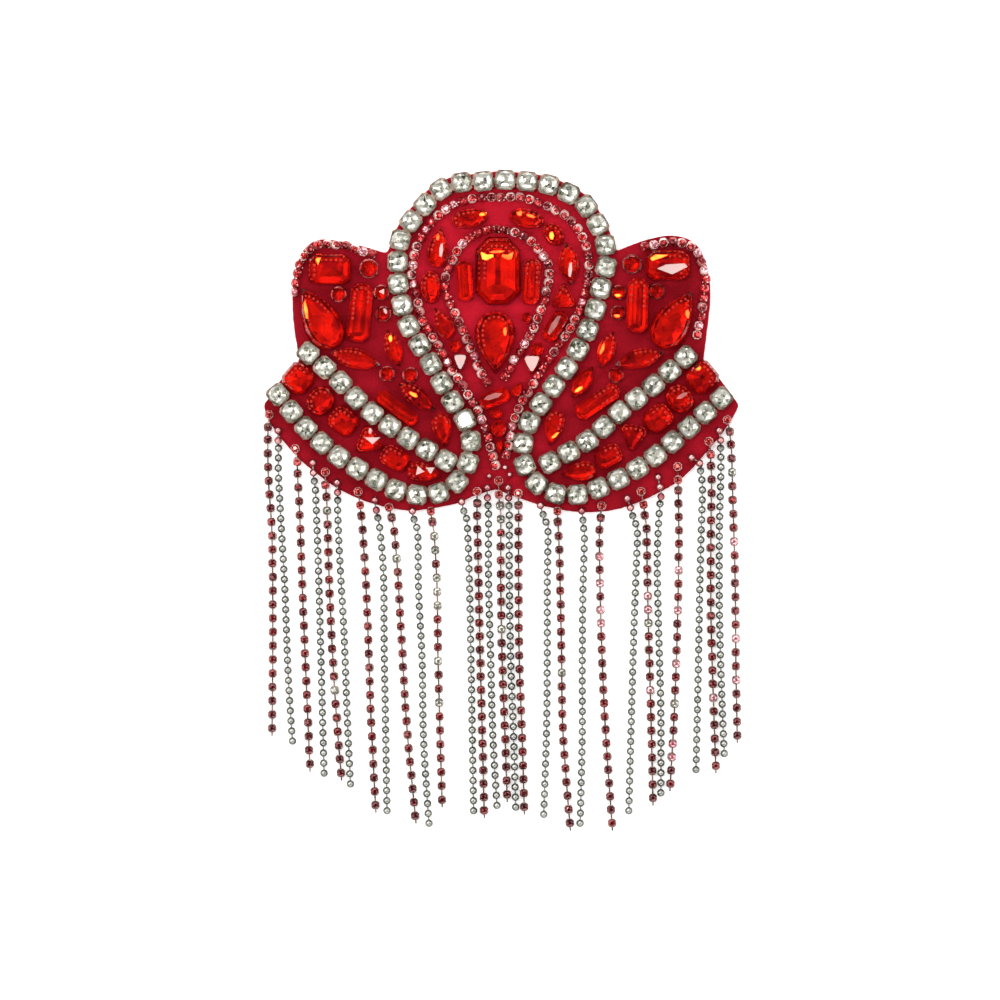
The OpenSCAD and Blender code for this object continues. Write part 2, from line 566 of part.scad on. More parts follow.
strand("strand_right_12");  // strand_right_12
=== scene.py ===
import math
import random

import bmesh
import bpy
from mathutils import Matrix, Vector, noise


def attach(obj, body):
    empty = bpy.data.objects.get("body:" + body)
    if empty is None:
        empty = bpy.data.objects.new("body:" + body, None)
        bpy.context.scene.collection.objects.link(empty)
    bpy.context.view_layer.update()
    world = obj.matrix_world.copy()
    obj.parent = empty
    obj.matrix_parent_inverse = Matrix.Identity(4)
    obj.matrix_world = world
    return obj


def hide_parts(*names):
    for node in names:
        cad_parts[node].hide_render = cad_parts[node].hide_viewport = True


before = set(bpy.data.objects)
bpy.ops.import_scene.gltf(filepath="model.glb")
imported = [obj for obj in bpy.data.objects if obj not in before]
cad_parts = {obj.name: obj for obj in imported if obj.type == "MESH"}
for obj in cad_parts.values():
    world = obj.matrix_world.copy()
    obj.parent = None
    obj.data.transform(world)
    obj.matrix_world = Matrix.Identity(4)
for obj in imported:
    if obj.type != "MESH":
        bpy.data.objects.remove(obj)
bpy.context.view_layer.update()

# Camera. The photo looks straight down on the epaulette, with 280 mm of the table across the
# frame. The long lens keeps the rows of stones free of perspective.
MM = 0.001
VIEW_W = 280
VIEW_MIDDLE = (-0.4, -44.5)
CAMERA_HEIGHT = 1400
SENSOR_W = 36
camera = bpy.data.objects.new("camera", bpy.data.cameras.new("camera"))
camera.data.sensor_width = SENSOR_W
camera.data.lens = SENSOR_W * CAMERA_HEIGHT / VIEW_W
camera.location = Vector((*VIEW_MIDDLE, CAMERA_HEIGHT)) * MM
bpy.context.collection.objects.link(camera)
bpy.context.scene.camera = camera
bpy.context.scene.view_settings.view_transform = "Standard"

# Studio light. Large soft boxes stand round the table and leave it dark straight above, so that
# facets that face the camera stay deep and the slanted ones light up. A small bright lamp near the
# camera gives the hard flashes that single facets throw back.
LAMPS = [
    ("box_left", (-620, -40, 560), (520, 900), 4.6, (1.0, 0.97, 0.95)),
    ("box_right", (640, -60, 520), (420, 900), 3.4, (1.0, 0.98, 0.97)),
    ("box_top", (-40, 640, 600), (900, 420), 4.4, (1.0, 1.0, 1.0)),
    ("box_bottom", (60, -720, 520), (700, 300), 2.0, (1.0, 0.98, 0.95)),
    ("lamp_flash", (-150, 200, 860), (150, 150), 1.6, (1.0, 0.96, 0.9)),
]
for name, place, size, watts, tint in LAMPS:
    lamp = bpy.data.objects.new(name, bpy.data.lights.new(name, "AREA"))
    lamp.data.shape = "RECTANGLE"
    lamp.data.size, lamp.data.size_y = size[0] * MM, size[1] * MM
    lamp.data.energy = watts
    lamp.data.color = tint
    lamp.location = Vector(place) * MM
    aim = Vector((*VIEW_MIDDLE, 0)) * MM - lamp.location
    lamp.rotation_euler = aim.to_track_quat("-Z", "Y").to_euler()
    bpy.context.collection.objects.link(lamp)
FLASH_LAMP = Vector(LAMPS[-1][1])
EYE = Vector((*VIEW_MIDDLE, CAMERA_HEIGHT))

# Room. It is pale round the table and dim overhead, so that metal and glass mirror a light
# horizon and their level facets stay dark. It has no walls and stands in for the studio alone.
ROOM_FADE = {"From Min": 0.3, "From Max": 0.95, "To Min": 0.55, "To Max": 0.05}
ROOM_TINT = (0.95, 0.96, 1.0, 1)
world = bpy.data.worlds.new("studio")
world.use_nodes = True
room = world.node_tree
height = room.nodes.new("ShaderNodeSeparateXYZ")
fade = room.nodes.new("ShaderNodeMapRange")
for socket, value in ROOM_FADE.items():
    fade.inputs[socket].default_value = value
room.links.new(room.nodes.new("ShaderNodeTexCoord").outputs["Generated"], height.inputs[0])
room.links.new(height.outputs["Z"], fade.inputs[0])
room.links.new(fade.outputs[0], room.nodes["Background"].inputs["Strength"])
room.nodes["Background"].inputs["Color"].default_value = ROOM_TINT
bpy.context.scene.world = world


# Materials. Each is one shader with its constants set on its own sockets, and its patterns come
# from noise in the object's own space, with sizes in millimetres.
MIX_SHARE, MIX_LOW, MIX_HIGH, MIX_COLOUR = 0, 6, 7, 2


class Value:
    """A shader node's output, so that sums of patterns read as formulas."""

    def __init__(self, paint, socket):
        self.paint, self.socket = paint, socket

    def _math(self, kind, first, second):
        return self.paint.node("Math", {"operation": kind}, {0: first, 1: second})

    def __add__(self, other):
        return self._math("ADD", self, other)

    def __sub__(self, other):
        return self._math("SUBTRACT", self, other)

    def __rsub__(self, other):
        return self._math("SUBTRACT", other, self)

    def __mul__(self, other):
        return self._math("MULTIPLY", self, other)

    __radd__ = __add__
    __rmul__ = __mul__


class Paint:
    """A material with one shader and the nodes that feed it."""

    def __init__(self, name, **constants):
        self.material = bpy.data.materials.new(name)
        self.material.use_nodes = True
        self.nodes = self.material.node_tree.nodes
        self.links = self.material.node_tree.links
        self.shader = self.nodes["Principled BSDF"]
        for socket, value in constants.items():
            self.shader.inputs[socket.replace("_", " ")].default_value = value

    def node(self, kind, settings=None, inputs=None, output=0):
        made = self.nodes.new("ShaderNode" + kind)
        for key, value in (settings or {}).items():
            setattr(made, key, value)
        for key, value in (inputs or {}).items():
            if isinstance(value, Value):
                self.links.new(value.socket, made.inputs[key])
            else:
                made.inputs[key].default_value = value
        return Value(self, made.outputs[output])

    def noise(self, size_mm, detail=2.0):
        """Noise from 0 to 1 whose grains are about this large."""
        place = self.node("TexCoord", output="Object")
        inputs = {"Vector": place, "Scale": 1 / (size_mm * MM), "Detail": detail}
        return self.node("TexNoise", {}, inputs)

    def mixed(self, share, low, high):
        """A colour between two, by a value from 0 to 1."""
        inputs = {MIX_SHARE: share, MIX_LOW: (*low, 1), MIX_HIGH: (*high, 1)}
        return self.node("Mix", {"data_type": "RGBA"}, inputs, MIX_COLOUR)

    def stretched(self, value, low, high, to_low=0.0, to_high=1.0):
        """Spreads a value from one range to another and clamps it."""
        inputs = {"Value": value, "From Min": low, "From Max": high, "To Min": to_low, "To Max": to_high}
        return self.node("MapRange", {}, inputs)

    def feed(self, socket, value):
        self.links.new(value.socket, self.shader.inputs[socket])

    def bump(self, height, depth_mm):
        self.feed("Normal", self.node("Bump", {}, {"Height": height, "Distance": depth_mm * MM}))


# Crimson felt, patchy and matted, with painted light: a little lighter inside the loop than on the petals.
FELT_DARK = (0.19, 0.001, 0.006)
FELT_BRIGHT = (0.52, 0.008, 0.024)
LOOP_MIDDLE = (0, 22 * MM, 0)
LOOP_NEAR = 16 * MM
LOOP_FAR = 42 * MM
felt_paint = Paint("felt", Roughness=0.95, Specular_IOR_Level=0.12, Sheen_Weight=0.04,
                   Sheen_Tint=(1.0, 0.2, 0.3, 1))
felt_patch = felt_paint.noise(11, 3)
felt_grain = felt_paint.noise(0.5, 4)
felt_place = felt_paint.node("TexCoord", output="Object")
loop_reach = felt_paint.node("VectorMath", {"operation": "DISTANCE"}, {0: felt_place, 1: LOOP_MIDDLE},
                             output="Value")
# painted light: the felt's tone is raised towards the middle of the loop
loop_painted_light = felt_paint.stretched(loop_reach, LOOP_NEAR, LOOP_FAR, 1, 0)
felt_tone = felt_paint.stretched(felt_patch * 0.5 + felt_grain * 0.2 + loop_painted_light * 0.24, 0.22, 0.66)
felt_paint.feed("Base Color", felt_paint.mixed(felt_tone, FELT_DARK, FELT_BRIGHT))
felt_paint.bump(felt_grain + felt_paint.noise(0.16, 2) * 0.5, 0.25)

GLASS_INDEX = 1.52
LIT_INDEX = 2.0
CRYSTAL_INDEX = 1.55
RED_TINT = (0.96, 0.07, 0.055)
CLEAR_TINT = (0.985, 0.98, 0.935)


def glass(name, tint, index, grain_mm, spread, rough):
    """Cut glass whose polish changes in soft patches."""
    paint = Paint(name, Base_Color=(*tint, 1), Transmission_Weight=1.0, IOR=index)
    paint.feed("Roughness", paint.stretched(paint.noise(grain_mm), *spread, *rough))
    return paint


red_glass = glass("red_glass", RED_TINT, GLASS_INDEX, 1.5, (0.45, 0.8), (0.0, 0.05))
satin_glass = glass("satin_glass", RED_TINT, GLASS_INDEX, 0.9, (0.3, 0.7), (0.28, 0.36))
lit_glass = glass("lit_glass", RED_TINT, LIT_INDEX, 0.9, (0.3, 0.7), (0.28, 0.3))
clear_glass = glass("clear_glass", CLEAR_TINT, CRYSTAL_INDEX, 1.5, (0.45, 0.8), (0.0, 0.04))


def foil(name, dark, bright, shine, rough, patch_mm, own_share, spread=(0.25, 0.75)):
    """The coat under a cut stone, its tone changing in soft patches and from facet to facet."""
    paint = Paint(name, Metallic=shine)
    own = paint.node("NewGeometry", output="Random Per Island")
    tone = paint.stretched(own * own_share + paint.noise(patch_mm, 0) * (1 - own_share), *spread)
    paint.feed("Base Color", paint.mixed(tone, dark, bright))
    paint.feed("Roughness", paint.stretched(paint.noise(2.5, 0), 0.4, 0.7, rough, rough + 0.1))
    return paint


red_foil = foil("red_foil", (0.22, 0.0, 0.03), (0.82, 0.09, 0.012), 0.6, 0.26, 4.5, 0.4)
# painted shade: a darker copy of the red coat for the rim and sides of each stone
rim_shade_foil = foil("rim_shade_foil", (0.09, 0.0, 0.01), (0.30, 0.01, 0.02), 0.5, 0.3, 3.0, 0.4)
dot_foil = foil("dot_foil", (1.0, 0.70, 0.60), (1.0, 0.95, 0.85), 0.0, 0.5, 2.0, 0.6)
# painted reflection: the silver coat's facets are painted light or dark one by one
silver_foil = foil("silver_foil", (0.10, 0.12, 0.07), (1.0, 1.0, 0.93), 0.55, 0.14, 1.2, 0.9, (0.08, 0.52))
# painted highlight: a bright gold-orange coat for the glints, in place of the red coat
painted_gold_glint = foil("painted_gold_glint", (1.0, 0.30, 0.08), (1.0, 0.75, 0.12), 1.0, 0.06, 2.0, 0.8)


def metal(name, dark, bright, edge, rough, own_share=0.0, spread=(0.35, 0.65), shine=1.0):
    """Plated metal with faint stains and fine scratches, darker where it turns away."""
    paint = Paint(name, Metallic=shine, Specular_Tint=(edge, edge, edge, 1))
    stain = paint.noise(3, 3)
    own = paint.node("NewGeometry", output="Random Per Island")
    tone = paint.stretched(stain * (1 - own_share) + own * own_share, *spread)
    paint.feed("Base Color", paint.mixed(tone, dark, bright))
    paint.feed("Roughness", paint.stretched(stain + paint.noise(0.4) * 0.5, 0.5, 1.0, rough, rough + 0.15))
    paint.bump(paint.noise(0.25), 0.01)
    return paint


# partly painted shade: dark brown cup metal, its own dull plating darkened further for the shade between and
# beside the crystals
cup_metal = metal("cup_metal", (0.12, 0.08, 0.055), (0.40, 0.31, 0.25), 0.5, 0.3)
# painted reflection and highlight: the trim metal is tinted red for the felt it mirrors, and some cups are
# painted near white as glints
trim_metal_and_glints = metal("trim_metal_and_glints", (0.38, 0.01, 0.02), (1.0, 0.80, 0.74), 0.6, 0.2, own_share=0.8,
                   spread=(0.35, 0.75), shine=0.45)
claw_metal = metal("claw_metal", (0.20, 0.04, 0.04), (0.62, 0.30, 0.28), 0.5, 0.2)
rose_metal = metal("rose_metal", (0.45, 0.17, 0.18), (0.80, 0.47, 0.44), 0.5, 0.3)
# painted light and shade: a lighter copy of the ball metal for the crown and darker ones for the sides
ball_lit_crown = metal("ball_lit_crown", (0.36, 0.37, 0.34), (0.52, 0.53, 0.49), 0.3, 0.28)
ball_shaded_side = metal("ball_shaded_side", (0.15, 0.165, 0.145), (0.25, 0.265, 0.235), 0.3, 0.28)
rose_shaded_side = metal("rose_shaded_side", (0.30, 0.05, 0.06), (0.50, 0.16, 0.17), 0.4, 0.3)
strand_metal = metal("strand_metal", (0.14, 0.08, 0.06), (0.38, 0.28, 0.24), 0.4, 0.25)


def small_stone(name, dark, bright):
    """A rhinestone too small to look into: the colour of its foil under a hard clear coat."""
    paint = Paint(name, Metallic=0.8, Coat_Weight=1.0, Coat_Roughness=0.02, Roughness=0.14)
    own = paint.node("NewGeometry", output="Random Per Island")
    paint.feed("Base Color", paint.mixed(own, dark, bright))
    return paint


trim_red = small_stone("trim_red", (0.16, 0.0, 0.004), (0.70, 0.012, 0.012))
strand_red = small_stone("strand_red", (0.10, 0.0, 0.005), (0.23, 0.003, 0.006))
lit_red = small_stone("lit_red", (0.28, 0.006, 0.008), (0.62, 0.045, 0.022))
small_pink = small_stone("small_pink", (0.75, 0.25, 0.3), (0.9, 0.45, 0.48))
small_clear = small_stone("small_clear", (0.28, 0.29, 0.24), (0.58, 0.58, 0.50))


# Mesh making. Shapes are gathered in millimetres from rings of points and turned into one piece,
# which rides on the part's one body and stands for its CAD node.
class Shape:
    """Points and faces of one piece, gathered part by part."""

    def __init__(self):
        self.points, self.faces, self.slots = [], [], []

    def add(self, points, faces, slot=0, place=None):
        start = len(self.points)
        self.points += [place @ Vector(p) if place else Vector(p) for p in points]
        self.faces += [[start + i for i in face] for face in faces]
        self.slots += [slot] * len(faces)

    def stack(self, rings, slot=0, place=None, floor=False, top=False):
        """Joins closed rings of equal length with four-sided faces."""
        n = len(rings[0])
        faces = [
            (r * n + i, r * n + (i + 1) % n, (r + 1) * n + (i + 1) % n, (r + 1) * n + i)
            for r in range(len(rings) - 1)
            for i in range(n)
        ]
        if floor:
            faces.append(range(n - 1, -1, -1))
        if top:
            faces.append(range((len(rings) - 1) * n, len(rings) * n))
        self.add([p for ring in rings for p in ring], faces, slot, place)

    def facet(self, points, slot=0):
        """A face with points of its own, and so with a tone of its own."""
        self.add(points, [range(len(points))], slot)

    def piece(self, name, node, slot, paints, smooth=False):
        mesh = bpy.data.meshes.new(name)
        mesh.from_pydata([p * MM for p in self.points], [], self.faces)
        mesh.polygons.foreach_set("material_index", self.slots)
        mesh.polygons.foreach_set("use_smooth", [smooth] * len(self.faces))
        for paint in paints:
            mesh.materials.append(paint.material)
        made = bpy.data.objects.new(name, mesh)
        bpy.context.collection.objects.link(made)
        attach(made, "root")
        if node:
            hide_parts(node)
        return made


def circle(radius, level, count=8, turn=0.5):
    """A level ring about the Z axis."""
    angles = [(i + turn) * math.tau / count for i in range(count)]
    return [(radius * math.cos(angle), radius * math.sin(angle), level) for angle in angles]


# Cut stones. Each is a clear red glass crown over a coat of foil with a few broad facets and a row of raised
# dots, and is fixed flat on the felt. The coat is painted darker at its rim and sides, as painted shade.
# Outline, seat and height come from its CAD solid.
BASE_REACH = 0.01
GIRDLE_SHARE = 0.36
SHOULDER_SHARE = 0.56
CROWN = (0.92, 0.80)
FOOT_SHARE = 0.98
FOOT_RISE = 0.15
BLOCK_SIDES = 2.0
BLOCK_FOIL = ((1, 0), (0.78, 0.7), (0.5, 1), (0.12, 0.6))
ROUND_FOIL = ((0.72, 0.8), (0.3, 1))
FOIL_DEPTH = 0.8
FOIL_REACH = 0.2
TIP_TURN = math.radians(75)
FACET_STEP = 1.3
DOT_STEP = 1.4
DOT_R = 0.48
DOT_H = 0.4
DOT_ROWS = ((1, 0), (0.75, 0.7), (0.2, 1))
DOT_SHARE = 0.6
DOTS_FACE = (0.6, 0.8)
DOTTED_WIDTH = 2.4
CLAW_CUP = (1.02, 1.07)
# Rows of a claw from its foot up: reach past the stone, half width and level, outside and inside.
CLAW_ROWS = (
    ((0.34, 0.35, -0.6), (0, 0.35, -0.6)),
    ((0.26, 0.3, 0.5), (-0.05, 0.3, 0.5)),
    ((-0.1, 0.2, 1.1), (-0.45, 0.2, 1.1)),
)
FLASH_LIFT = 0.04
AIR_INDEX = 1.0
NO_SLOPE = Vector((0, 0))
GLASS, COAT, RIM_SHADE, DOT, GOLD_GLINT, SATIN, CLAW, POLISH = range(8)


def solids(node):
    """Base outline, lowest and highest level of each solid of a CAD node, in millimetres."""
    mesh = bmesh.new()
    mesh.from_mesh(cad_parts[node].data)
    bmesh.ops.remove_doubles(mesh, verts=mesh.verts, dist=1e-6)
    seen, found = set(), []
    for first in mesh.verts:
        if first.index in seen:
            continue
        seen.add(first.index)
        waiting, part = [first], []
        while waiting:
            vert = waiting.pop()
            part.append(vert.co / MM)
            for edge in vert.link_edges:
                other = edge.other_vert(vert)
                if other.index not in seen:
                    seen.add(other.index)
                    waiting.append(other)
        low, high = min(p.z for p in part), max(p.z for p in part)
        ring = [p.xy for p in part if p.z < low + BASE_REACH]
        middle = sum(ring, Vector((0, 0))) / len(ring)
        ring.sort(key=lambda p: math.atan2(p.y - middle.y, p.x - middle.x))
        found.append((ring, low, high))
    mesh.free()
    return found


def slope_to_lamp(place, index=AIR_INDEX):
    """Slope of a facet that throws the flash lamp's light into the camera, also from inside glass."""
    ways = []
    for target in (EYE, FLASH_LAMP):
        way = (target - place).normalized()
        x, y = way.x / index, way.y / index
        ways.append(Vector((x, y, math.sqrt(1 - x * x - y * y))))
    half = ways[0] + ways[1]
    return Vector((-half.x / half.z, -half.y / half.z))


class Cut:
    """The outline of a stone with its middle, its keel and whether its sides are straight."""

    def __init__(self, ring, bulge):
        count = len(ring)
        self.corners = ring
        self.middle = sum(ring, Vector((0, 0))) / count
        sides = [(ring[(i + 1) % count] - p).length for i, p in enumerate(ring)]
        self.block = count == 8 and max(sides) > BLOCK_SIDES * min(sides)
        away = [p - self.middle for p in ring]
        angle = 0.5 * math.atan2(2 * sum(p.x * p.y for p in away), sum(p.x ** 2 - p.y ** 2 for p in away))
        self.along = Vector((math.cos(angle), math.sin(angle)))
        half_along = max(abs(p.dot(self.along)) for p in away)
        self.half_across = max(abs(p.cross(self.along)) for p in away)
        self.keel = max(0.0, half_along - self.half_across)
        self.outline = self.divided(ring, sides) if self.block else self.rounded(ring, bulge)

    def divided(self, ring, sides):
        """Straight sides cut into short steps."""
        line = []
        for i, p in enumerate(ring):
            steps = max(1, round(sides[i] / FACET_STEP))
            line += [p.lerp(ring[(i + 1) % len(ring)], k / steps) for k in range(steps)]
        return line

    def rounded(self, ring, bulge):
        """A point between each two corners, on a curve that stays sharp at a tip."""
        line = []
        for i, b in enumerate(ring):
            a, c, d = ring[i - 1], ring[(i + 1) % len(ring)], ring[(i + 2) % len(ring)]
            before = 2 * b - c if (b - a).angle(c - b) > TIP_TURN else a
            after = 2 * c - b if (c - b).angle(d - c) > TIP_TURN else d
            line += [b, (b + c) / 2 + (b + c - before - after) / 16 * bulge]
        return line

    def drawn_in(self, p, share):
        """A point of the outline, moved towards the keel."""
        p = p - self.middle
        on_keel = max(-self.keel, min(self.keel, p.dot(self.along))) * self.along
        return self.middle + on_keel + (p - on_keel) * share

    def gap(self, p):
        """How far a point is from the keel."""
        p = p - self.middle
        return (p - max(-self.keel, min(self.keel, p.dot(self.along))) * self.along).length

    def ring(self, share, level, slope=NO_SLOPE):
        """The outline drawn in, on a level or sloping plane."""
        places = [self.drawn_in(p, share) for p in self.outline]
        return [(*place, level + slope.dot(place - self.middle)) for place in places]

    def corner_ring(self, share, level):
        """The corners alone, drawn in."""
        return [(*self.drawn_in(p, share), level) for p in self.corners]

    def spaced(self, share, step):
        """Places at even distances along the outline drawn in."""
        line = [self.drawn_in(p, share) for p in self.outline]
        sides = [(line[(i + 1) % len(line)] - p).length for i, p in enumerate(line)]
        count = round(sum(sides) / step)
        made, i, before = [], 0, 0.0
        for n in range(count):
            target = n * sum(sides) / count
            while before + sides[i] < target:
                before += sides[i]
                i += 1
            made.append(line[i].lerp(line[(i + 1) % len(line)], (target - before) / sides[i]))
        return made


def add_crown(shape, cut, girdle, high, crown, lean, table_slot=GLASS):
    """The clear part: two rows of facets up to a flat table."""
    side, top = crown
    shoulder = girdle + SHOULDER_SHARE * (high - girdle)
    drop = max(lean.dot(cut.drawn_in(p, top) - cut.middle) for p in cut.outline)
    table = cut.ring(top, high - drop, lean)
    if cut.block:
        shape.stack([cut.ring(1, girdle), cut.ring(side, shoulder), table], GLASS)
        shape.facet(table, table_slot)
        return
    table = table[::2]
    n = len(table)
    faces = []
    for j in range(n):
        a, b, c = 2 * j, 2 * j + 1, (2 * j + 2) % (2 * n)
        m, m_before = 2 * n + j, 2 * n + (j - 1) % n
        t, t_next = 3 * n + j, 3 * n + (j + 1) % n
        faces += [(a, b, m), (b, c, m), (a, m, t, m_before), (t, m, t_next)]
    shape.add(cut.ring(1, girdle) + cut.ring(side, shoulder)[1::2] + table, faces, GLASS)
    shape.facet(table, table_slot)


def add_wall(shape, cut, low, girdle, slot):
    """The coated side and underside."""
    rings = [cut.ring(FOOT_SHARE, low), cut.ring(1, low + FOOT_RISE), cut.ring(1, girdle)]
    shape.stack(rings, slot, floor=True)


def add_foil(shape, cut, girdle, rows, rim_slot):
    """The coat of a round stone: a rim, then rows of broad facets, each turned against the last."""
    rim = cut.ring(1, girdle)
    rings = [cut.ring(share, girdle - sink)[(r + 1) % 2::2] for r, (share, sink) in enumerate(rows)]
    n = len(rings[0])
    for j in range(n):
        k = (j + 1) % n
        shape.facet([rim[2 * j], rim[2 * j + 1], rings[0][j]], rim_slot)
        shape.facet([rim[2 * j + 1], rim[2 * k], rings[0][j]], rim_slot)
        shape.facet([rings[0][j], rim[2 * k], rings[0][k]], rim_slot)
        for r, (outer, inner) in enumerate(zip(rings, rings[1:])):
            if r % 2:
                shape.facet([outer[j], outer[k], inner[j]], COAT)
                shape.facet([outer[k], inner[k], inner[j]], COAT)
            else:
                shape.facet([inner[j], outer[j], inner[k]], COAT)
                shape.facet([outer[j], outer[k], inner[k]], COAT)
    shape.facet(rings[-1], COAT)


def add_prongs(shape, place, rows, slot):
    """Four prongs round a place. A row has the reach, half width and level of its two edges."""
    rings = []
    for (x, y, z), (inner_x, inner_y, inner_z) in rows:
        rings.append([(x, -y, z), (x, y, z), (inner_x, inner_y, inner_z), (inner_x, -inner_y, inner_z)])
    for quarter in range(4):
        turn = Matrix.Rotation((quarter + 0.5) * math.pi / 2, 4, "Z")
        shape.stack(rings, slot, place @ turn, top=True)


def add_claws(shape, cut, low, girdle):
    """The thin metal cup of a small round stone, with four claws that lean on its crown."""
    inner, outer = CLAW_CUP
    walls = [cut.ring(inner, low), cut.ring(outer, low), cut.ring(outer, girdle), cut.ring(inner, girdle)]
    shape.stack(walls, CLAW)
    rows = [[(cut.half_across + x, y, girdle + z) for x, y, z in row] for row in CLAW_ROWS]
    add_prongs(shape, Matrix.Translation((*cut.middle, 0)), rows, CLAW)


def add_red_stone(shape, cut, low, high, lit):
    """A red stone: a coat painted dark at its rim and sides as painted shade, broad bright facets in the
    middle, and dots between them.
    """
    girdle = low + GIRDLE_SHARE * (high - low)
    depth = min(FOIL_DEPTH * (girdle - low), FOIL_REACH * cut.half_across)
    lean = slope_to_lamp(Vector((*cut.middle, high))) if lit else NO_SLOPE
    add_crown(shape, cut, girdle, high, CROWN, lean, POLISH if lit else GLASS)
    add_wall(shape, cut, low, girdle, RIM_SHADE)
    if cut.block:
        rings = [cut.corner_ring(share, girdle - sink * depth) for share, sink in BLOCK_FOIL]
        for r, (outer, inner) in enumerate(zip(rings, rings[1:])):
            for i in range(8):
                k = (i + 1) % 8
                shape.facet([outer[i], outer[k], inner[k], inner[i]], COAT if r else RIM_SHADE)
        shape.facet(rings[-1], COAT)
    else:
        add_foil(shape, cut, girdle, [(share, sink * depth) for share, sink in ROUND_FOIL], RIM_SHADE)
    if cut.half_across < DOTTED_WIDTH:
        return
    facing = Vector((math.copysign(DOTS_FACE[0], cut.middle.x), DOTS_FACE[1]))
    rings = [circle(share * DOT_R, rise * DOT_H, 6) for share, rise in DOT_ROWS]
    for place in cut.spaced(DOT_SHARE, DOT_STEP):
        if (place - cut.middle).dot(facing) > 0:
            shape.stack(rings, DOT, Matrix.Translation((*place, girdle - depth)), top=True)


BLADE = ((-0.5, 0), (-0.25, -0.45), (0.25, -0.5), (0.5, 0), (0.2, 0.5), (-0.3, 0.4))
WEDGE = ((-0.5, 0.5), (0, -0.5), (0.5, 0.5))
KITE = ((-0.5, 0.03), (0, -0.5), (0.5, 0.19), (0.4, 0.5), (-0.2, 0.4))
FIN = ((-0.5, 0.46), (-0.27, -0.5), (0.08, -0.17), (0.5, 0.35))
FAN = ((-0.5, 0.5), (-0.38, -0.35), (-0.05, -0.5), (0.5, -0.1), (0.45, 0.2), (0.0, 0.15))
FAN_RIGHT = tuple((-x, y) for x, y in reversed(FAN))


def add_flash(shape, form, place, size, turn, slot, index):
    """A single facet of the given form, on a low wedge, that throws the lamp's light to the camera."""
    slope = slope_to_lamp(place, index)
    spin = Matrix.Rotation(math.radians(turn), 2)
    flat = [spin @ Vector((x * size[0], y * size[1])) for x, y in form]
    level = place.z + FLASH_LIFT - min(slope.dot(p) for p in flat)
    shape.stack([
        [(*(place.xy + p), place.z - FLASH_LIFT) for p in flat],
        [(*(place.xy + p), level + slope.dot(p)) for p in flat],
    ], slot, top=True)


# Flashes in the photo: form, middle, size and turn from +X. Gold ones are painted highlights: facets in the
# coat under the stone's table, painted bright gold and turned to the flash lamp. White and pink ones are
# polished and satin facets of the table itself.
GOLD_FLASHES = {
    "centre_stone": [(FAN, (-4.0, 23.6), (3.6, 2.4), 0), (FAN_RIGHT, (1.7, 23.6), (3.2, 2.2), 0),
                     (BLADE, (-1.2, 24.8), (4.2, 0.7), 4)],
    "centre_drop": [(BLADE, (1.0, 2.6), (1.0, 2.4), 0)],
    "ring_stones": [(BLADE, (-5.2, 35.4), (2.2, 1.0), 20), (BLADE, (5.0, 35.8), (1.6, 1.9), 10),
                    (BLADE, (8.2, 34.8), (2.6, 0.8), -18), (BLADE, (14.0, 29.3), (1.3, 2.2), 0),
                    (BLADE, (-17.8, 29.0), (1.0, 1.8), 0)],
    "left_wing_stone": [(WEDGE, (-51.2, 22.4), (2.0, 2.6), 0)],
    "left_wing_pear": [(BLADE, (-54.6, 8.6), (1.0, 5.2), 8)],
    "left_wing_navettes": [(BLADE, (-31.0, 0.6), (1.0, 1.8), 0)],
    "left_lower_stones": [(BLADE, (-24.6, -15.0), (2.6, 1.0), -28)],
    "right_wing_stone": [(FIN, (43.6, 23.2), (5.8, 1.9), 0)],
    "right_wing_pear": [(BLADE, (52.0, 7.4), (1.3, 2.4), 10)],
    "right_wing_navettes": [(BLADE, (27.9, -2.2), (1.6, 3.2), -22)],
    "right_chatons": [(BLADE, (32.4, 12.6), (2.0, 0.8), 0), (BLADE, (32.2, 6.9), (2.0, 0.8), 0)],
    "right_lower_stones": [(BLADE, (21.6, -13.6), (2.8, 0.9), 35), (BLADE, (15.2, -26.4), (3.0, 0.8), 35)],
    "right_petal_stones": [(BLADE, (54.9, -7.6), (1.6, 1.4), 0)],
}
WHITE_FLASHES = {
    "right_wing_stone": [(KITE, (47.6, 19.9), (8.6, 3.1), 0)],
    "ring_stones": [(BLADE, (-16.8, 25.2), (1.1, 4.0), -6), (BLADE, (19.2, 19.8), (1.1, 4.2), -6)],
    "left_petal_stones": [(WEDGE, (-36.0, -28.0), (4.4, 1.9), 0), (BLADE, (-36.6, -25.2), (1.0, 1.6), 0),
                          (WEDGE, (-23.0, -36.0), (2.6, 2.2), 200), (WEDGE, (-19.8, -36.4), (2.4, 1.9), 0)],
    "left_chatons": [(WEDGE, (-33.1, 13.4), (1.7, 1.5), 30), (BLADE, (-32.4, 8.2), (0.9, 1.6), 20)],
}
PINK_FLASHES = {
    "ring_stones": [(BLADE, (14.7, 4.4), (1.6, 6.2), -32)],
    "lower_stones": [(BLADE, (-2.4, -15.6), (5.4, 1.5), 18)],
    "right_petal_stones": [(BLADE, (50.4, -15.4), (3.6, 1.2), 30)],
}
FLASH_KINDS = [(GOLD_FLASHES, GOLD_GLINT, GLASS_INDEX), (WHITE_FLASHES, POLISH, AIR_INDEX),
               (PINK_FLASHES, SATIN, AIR_INDEX)]
LIT_TABLES = [(-11.5, -6), (8.5, -6.5)]
LIT_REACH = 1.2
STONE_NODES = [
    "centre_stone", "centre_drop", "centre_side_stones", "ring_stones", "lower_stones",
    "left_wing_stone", "left_wing_pear", "left_wing_baguette", "left_wing_navettes", "left_chatons",
    "left_lower_stones", "left_petal_stones", "right_wing_stone", "right_wing_pear",
    "right_wing_baguette", "right_wing_navettes", "right_chatons", "right_lower_stones",
    "right_petal_stones",
]
CLAWED_NODES = ["left_chatons", "right_chatons"]
